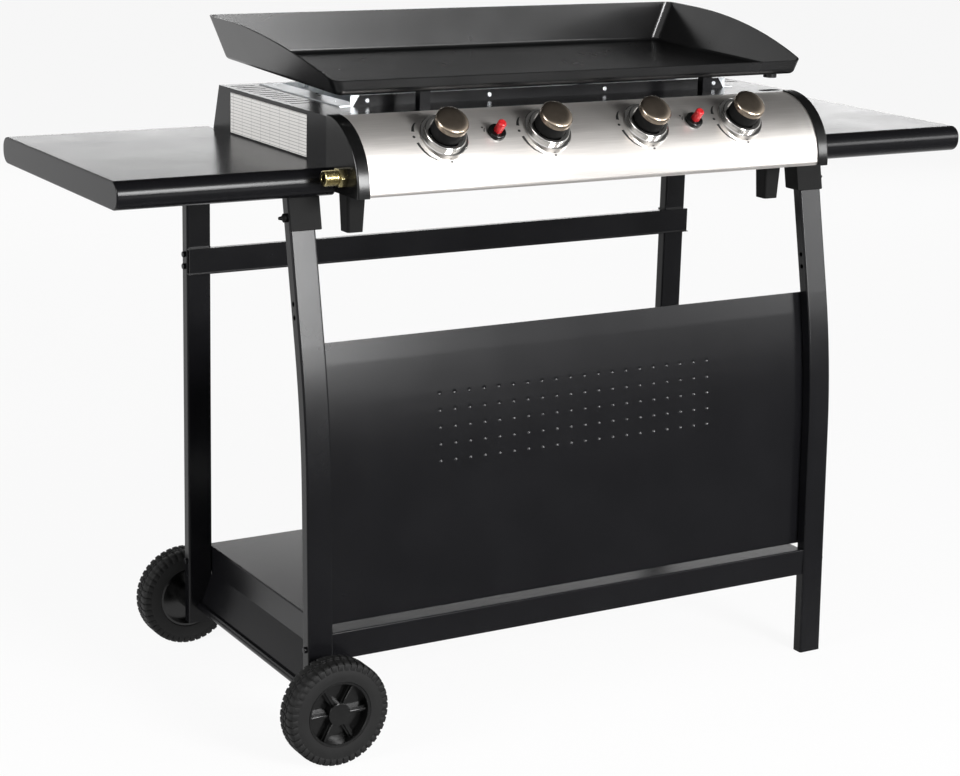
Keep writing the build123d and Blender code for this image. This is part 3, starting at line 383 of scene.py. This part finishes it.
for piece in (inlet, hexagon):
    dress(piece, brass, "cart")
    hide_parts("gas_inlet")

# Control panel: stainless sheet brushed along its length and rolled to a quarter round. The brushing
# leaves hair lines about half a millimetre wide and some centimetres long.
stainless, tree, shader, place = start_material(
    "brushed_stainless", {"Metallic": 1, "Anisotropic": 0.8})
hair_length, hair_width = 60 * mm, 0.6 * mm
stretched = add_node(tree, "Mapping", {
    "Vector": place, "Scale": (1 / hair_length, 1 / hair_width, 1 / hair_width)})
hair = mottle(tree, shader, stretched.outputs["Vector"], patch=1, detail=2,
              colours=("c4c0bc", "e4e0dc"), roughness=(0.31, 0.41))
scratch = add_node(tree, "Bump", {"Height": hair, "Strength": 0.1, "Distance": 0.05 * mm})
around = add_node(tree, "Tangent", {}, direction_type="RADIAL", axis="X")
tree.links.new(scratch.outputs["Normal"], shader.inputs["Normal"])
tree.links.new(around.outputs["Tangent"], shader.inputs["Tangent"])
wear(stainless, "control_panel")

# End caps of the control panel: moulded from the same glossy black plastic as the wheels and screwed
# to the body, so that they hide the panel's cut ends.
wear(polished_black, "end_cap_left", "end_cap_right")

# Bezels behind the knobs: pressed steel, polished and chromed, with faint wiping marks. They are
# clipped into the panel.
chrome, tree, shader, place = start_material(
    "polished_chrome", {"Metallic": 1, "Base Color": linear("d9d7d4")})
wiped = add_node(tree, "TexNoise", {"Vector": place, "Scale": 1 / (9 * mm), "Detail": 5})
smear = add_node(tree, "MapRange", {"Value": wiped.outputs["Fac"], "To Min": 0.06, "To Max": 0.16})
tree.links.new(smear.outputs["Result"], shader.inputs["Roughness"])
wear(chrome, "knob_bezels")

# Knobs: a cap of dark bronze chromed plastic pushed over a black skirt. Each turns with its valve
# stem and is pushed in along it.
joints = {joint["name"]: joint for joint in frame["joints"]}


def panel_place(joint):
    """The place of a control on the panel: Z leaves the panel, Y goes up along it."""
    out = Vector(joint["axis"]) if joint["axis"][2] > 0 else -Vector(joint["axis"])
    right = Vector((1, 0, 0))
    place = Matrix((right, out.cross(right), out)).transposed().to_4x4()
    place.translation = joint["pos_m"]
    return place


# Bronze coloured chrome on plastic: a dark mirror, blurred a little where hands have been.
bronze_chrome, tree, shader, place = start_material("bronze_chrome", {"Metallic": 1})
mottle(tree, shader, place, patch=11 * mm, detail=4,
       colours=("a39585", "b4a696"), roughness=(0.20, 0.28))

knob_radius, skirt_low, waist, knob_top, shank = 23.5 * mm, 7.5 * mm, 27 * mm, 39 * mm, 4.3 * mm
cap_profile = [(0, waist), (knob_radius - 2.5 * mm, waist), (knob_radius - 0.4 * mm, waist),
               (knob_radius, waist + 0.4 * mm), (knob_radius, knob_top - 6.5 * mm),
               (knob_radius - 0.3 * mm, knob_top - 5.2 * mm), (knob_radius - 1 * mm, knob_top - 4 * mm),
               (knob_radius - 2.2 * mm, knob_top - 3 * mm), (knob_radius - 4 * mm, knob_top - 2.2 * mm),
               (knob_radius - 8 * mm, knob_top - 1.1 * mm), (knob_radius - 13 * mm, knob_top - 0.4 * mm),
               (knob_radius - 18 * mm, knob_top - 0.1 * mm), (0, knob_top)]
skirt_profile = [(shank, skirt_low), (knob_radius - 1.6 * mm, skirt_low),
                 (knob_radius - 1 * mm, skirt_low + 0.6 * mm), (knob_radius - 1 * mm, waist - 1.6 * mm),
                 (knob_radius - 1.4 * mm, waist - 1 * mm), (knob_radius - 2.5 * mm, waist - 0.8 * mm),
                 (knob_radius - 2.5 * mm, waist), (shank, waist), (shank, skirt_low)]
for number in (1, 2, 3, 4):
    place = panel_place(joints[f"valve_{number}_turn"])
    cap = turned(f"knob_{number}_cap", cap_profile, place, steps=72)
    dress(cap, bronze_chrome, f"control_knob_{number}")
    skirt = turned(f"knob_{number}_skirt", skirt_profile, place, steps=72)
    dress(skirt, moulded_black, f"control_knob_{number}")
    for piece in (cap, skirt):
        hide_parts(f"knob_{number}")

# Dial marks: black screen print on the panel round each bezel, arcs that narrow towards the low flame
# and plain dots at the ends of the knob's travel.
print_black, tree, shader, place = start_material("screen_print_black", {"IOR": 1.5})
mottle(tree, shader, place, patch=0.8 * mm, detail=2,
       colours=("0d0d0d", "191918"), roughness=(0.45, 0.6))


def print_arc(radius, start, sweep, wide, narrow):
    """An arc of print, flat on the place's XY plane, from a wide end to a narrow one."""
    bpy.ops.object.select_all(action="DESELECT")
    bpy.ops.mesh.primitive_plane_add(size=wide, location=(radius * cos(start), radius * sin(start), 0))
    arc = bpy.context.object
    bpy.ops.object.mode_set(mode="EDIT")
    bpy.ops.mesh.select_mode(type="VERT")
    bpy.ops.mesh.merge(type="CENTER")
    bpy.ops.transform.translate(value=(-wide / 2 * cos(start), -wide / 2 * sin(start), 0))
    bpy.ops.mesh.extrude_region_move(
        TRANSFORM_OT_translate={"value": (wide * cos(start), wide * sin(start), 0)})
    bpy.ops.mesh.select_all(action="SELECT")
    # Spin turns clockwise.
    bpy.ops.mesh.spin(steps=28, angle=-sweep, center=(0, 0, 0), axis=(0, 0, 1))
    bpy.ops.object.mode_set(mode="OBJECT")
    bpy.ops.object.transform_apply(location=True, rotation=True, scale=True)
    for vertex in arc.data.vertices:
        turn = Vector((cos(start), sin(start))).angle_signed(vertex.co.to_2d(), 0)
        share = min(abs(turn / sweep), 1)
        inset = vertex.co.to_2d().length - radius
        vertex.co *= (radius + inset * (1 + share * (narrow / wide - 1))) / vertex.co.length
    return arc


def print_dot(radius, angle, size):
    """A round dot of print, flat on the place's XY plane."""
    bpy.ops.object.select_all(action="DESELECT")
    bpy.ops.mesh.primitive_circle_add(vertices=20, radius=size / 2, fill_type="NGON",
                                      location=(radius * cos(angle), radius * sin(angle), 0))
    bpy.ops.object.mode_set(mode="EDIT")
    bpy.ops.mesh.inset(thickness=size / 6, depth=0)
    bpy.ops.object.mode_set(mode="OBJECT")
    bpy.ops.object.transform_apply(location=True, rotation=True, scale=True)
    return bpy.context.object


def print_on_panel(name, marks, place):
    """Join flat marks, lower them on the panel and give the film its thickness."""
    bpy.ops.object.select_all(action="DESELECT")
    for mark in marks:
        mark.select_set(True)
    bpy.context.view_layer.objects.active = marks[0]
    bpy.ops.object.join()
    film = marks[0]
    film.name = film.data.name = name
    above_panel = 6 * mm
    set_down(film, place @ Matrix.Translation((0, 0, above_panel)))
    wrap = film.modifiers.new("wrap", "SHRINKWRAP")
    wrap.target, wrap.offset = frame["nodes"]["control_panel"], 0.12 * mm
    bpy.ops.object.modifier_apply(modifier=wrap.name)
    coat = film.modifiers.new("coat", "SOLIDIFY")
    coat.thickness, coat.offset = 0.08 * mm, -1
    bpy.ops.object.modifier_apply(modifier=coat.name)
    dress(film, print_black, "cart")


for number in (1, 2, 3, 4):
    marks = [print_arc(43.5 * mm, radians(191), radians(54), 4.2 * mm, 1 * mm),
             print_arc(44.5 * mm, radians(165), radians(-30), 4.6 * mm, 1.4 * mm),
             print_dot(45 * mm, radians(178), 4.4 * mm), print_dot(43.5 * mm, radians(272), 4.2 * mm)]
    print_on_panel(f"dial_marks_{number}", marks, panel_place(joints[f"valve_{number}_turn"]))

# Igniters: glossy red plastic buttons in moulded collars, each with a small printed mark beside it on
# the panel.
red_plastic, tree, shader, place = start_material("red_abs", {"IOR": 1.53})
mottle(tree, shader, place, patch=5 * mm, detail=2,
       colours=("a3171c", "bf2429"), roughness=(0.18, 0.28))
wear(red_plastic, "igniter_button_left", "igniter_button_right")
wear(polished_black, "igniter_bodies")
igniter_across = 163.5 * mm
for side, across in (("left", -igniter_across), ("right", igniter_across)):
    place = panel_place(joints["valve_1_turn"])
    place[0][3] = across
    marks = [print_arc(18 * mm, radians(168), radians(-24), 1.6 * mm, 1 * mm),
             print_dot(21.5 * mm, radians(146), 3 * mm)]
    print_on_panel(f"spark_marks_{side}", marks, place)

# Griddle plate and its posts: a drawn steel pan that stands on painted posts. Its black enamel is
# smoother than the paint but has the soft waviness of fired glass about 6 mm across.
enamel, tree, shader, place = start_material("black_enamel", {"IOR": 1.5, "Specular IOR Level": 0.5})
mottle(tree, shader, place, patch=70 * mm, detail=3,
       colours=("0a0a0a", "0f0f10"), roughness=(0.22, 0.30))
ripple = add_node(tree, "TexNoise", {"Vector": place, "Scale": 1 / (6 * mm), "Detail": 1})
wave = add_node(tree, "Bump", {"Height": ripple.outputs["Fac"], "Strength": 0.08, "Distance": 0.1 * mm})
tree.links.new(wave.outputs["Normal"], shader.inputs["Normal"])
wear(enamel, "griddle_plate")
wear(powder_coat, "plate_posts")

# Grease tray: a drawer folded from the same galvanised sheet as the burner box. It slides in its guide
# and is pulled out at the back.
wear(galvanised, "grease_tray")

# Stage: a pale floor that keeps the shadow, a white room with a dark ceiling and rear wall, and soft
# boxes. Mirrored rays see the floor fall off towards the front.
bpy.ops.object.select_all(action="DESELECT")
bpy.ops.mesh.primitive_plane_add(size=60)
floor = bpy.context.object
floor.name = "floor"
floor_white, tree, shader, place = start_material(
    "floor_white", {"Base Color": linear("f4f4f4"), "Roughness": 0.9, "Specular IOR Level": 0})
rays = add_node(tree, "LightPath", {}).outputs
mirrored = add_node(tree, "Math", {0: rays["Is Glossy Ray"], 1: rays["Is Transmission Ray"]},
                    operation="MAXIMUM")
direct = add_node(tree, "Math", {0: rays["Is Camera Ray"], 1: 0.92}, operation="MULTIPLY")
lift = add_node(tree, "Math", {0: direct.outputs[0], 1: mirrored.outputs[0]}, operation="MAXIMUM")
along = add_node(tree, "SeparateXYZ", {"Vector": place})
fall = add_node(tree, "MapRange", {"Value": along.outputs["Y"], "From Min": -0.7, "From Max": 0.2,
                                   "To Min": 0.3, "To Max": 1.0})
bright = add_node(tree, "Math", {0: fall.outputs[0], 1: rays["Is Camera Ray"]}, operation="MAXIMUM")
white = add_node(tree, "Emission", {"Color": (1, 1, 1, 1), "Strength": bright.outputs[0]})
floor_mix = add_node(tree, "MixShader", {0: lift.outputs[0], 1: shader.outputs[0], 2: white.outputs[0]})
tree.links.new(floor_mix.outputs[0], tree.nodes["Material Output"].inputs["Surface"])
floor.data.materials.append(floor_white)

world = bpy.data.worlds.new("studio")
bpy.context.scene.world = world
world.use_nodes = True
tree = world.node_tree
backdrop = tree.nodes["Background"]
rays = add_node(tree, "LightPath", {}).outputs
seen = add_node(tree, "Math", {0: rays["Is Camera Ray"], 1: rays["Is Glossy Ray"]}, operation="MAXIMUM")
seen = add_node(tree, "Math", {0: seen.outputs[0], 1: rays["Is Transmission Ray"]}, operation="MAXIMUM")
level = add_node(tree, "MapRange", {"Value": seen.outputs[0], "To Min": 0.4, "To Max": 1.0})
toward = add_node(tree, "SeparateXYZ", {"Vector": add_node(tree, "TexCoord", {}).outputs["Generated"]})
ceiling = add_node(tree, "MapRange", {"Value": toward.outputs["Z"], "From Min": 0.42, "From Max": 0.66,
                                      "To Min": 1.0, "To Max": 0.1})
rear_wall = add_node(tree, "MapRange", {"Value": toward.outputs["Y"], "From Min": -0.2, "From Max": 0.5,
                                        "To Min": 1.0, "To Max": 0.15})
room = add_node(tree, "Math", {0: ceiling.outputs[0], 1: rear_wall.outputs[0]}, operation="MULTIPLY")
bare = add_node(tree, "Math", {0: room.outputs[0], 1: rays["Is Camera Ray"]}, operation="MAXIMUM")
strength = add_node(tree, "Math", {0: bare.outputs[0], 1: level.outputs[0]}, operation="MULTIPLY")
tree.links.new(strength.outputs[0], backdrop.inputs["Strength"])
backdrop.inputs["Color"].default_value = (1, 1, 1, 1)


def soft_box(name, place, target, width, height, watts):
    """A soft box at a place, aimed at a target and out of the camera's sight."""
    bpy.ops.object.light_add(type="AREA", location=place)
    lamp = bpy.context.object
    lamp.name = name
    lamp.data.shape, lamp.data.energy = "RECTANGLE", watts
    lamp.data.size, lamp.data.size_y = width, height
    lamp.rotation_euler = (Vector(target) - Vector(place)).to_track_quat("-Z", "Y").to_euler()
    lamp.visible_camera = False
    return lamp


soft_box("front_box", (0.75, -3.6, 1.45), (-0.4, -0.2, 0.7), 1.1, 1.15, 170)
soft_box("right_box", (3.4, -3.5, 1.5), (0.3, -0.2, 0.7), 1.2, 1.1, 48)
fill = soft_box("front_fill", (0.9, -3.2, 2.9), (0, 0, 0.8), 4.5, 1.6, 16)
fill.visible_glossy = False
soft_box("rear_box", (2.2, 4.4, 1.28), (0, 0, 0.8), 6.5, 0.66, 52)
soft_box("rear_left_box", (-2.4, 4.2, 2.1), (0.3, 0, 0.9), 2.6, 1.8, 20)
soft_box("left_box", (-3.4, -0.6, 1.6), (0, 0, 0.8), 1.6, 1.2, 70)

# Camera at the photograph's angle: its place, turn and lens were fitted to points of the object, and
# the shift frames it.
azimuth, elevation, roll = radians(-29.9), radians(14.3), radians(1.3)
back = Vector((sin(azimuth) * cos(elevation), -cos(azimuth) * cos(elevation), sin(elevation)))
level_right = Vector((cos(azimuth), sin(azimuth), 0))
level_up = back.cross(level_right)
right = cos(roll) * level_right + sin(roll) * level_up
up = cos(roll) * level_up - sin(roll) * level_right
bpy.ops.object.camera_add()
camera = bpy.context.object
camera.matrix_world = Matrix((right, up, back)).transposed().to_4x4()
camera.location = (-1.7208, -2.8058, 1.2819)
camera.data.sensor_width, camera.data.lens = 36, 84.15
camera.data.shift_x, camera.data.shift_y = 0.0307, -0.0163
bpy.context.scene.camera = camera
bpy.context.scene.view_settings.view_transform = "Standard"
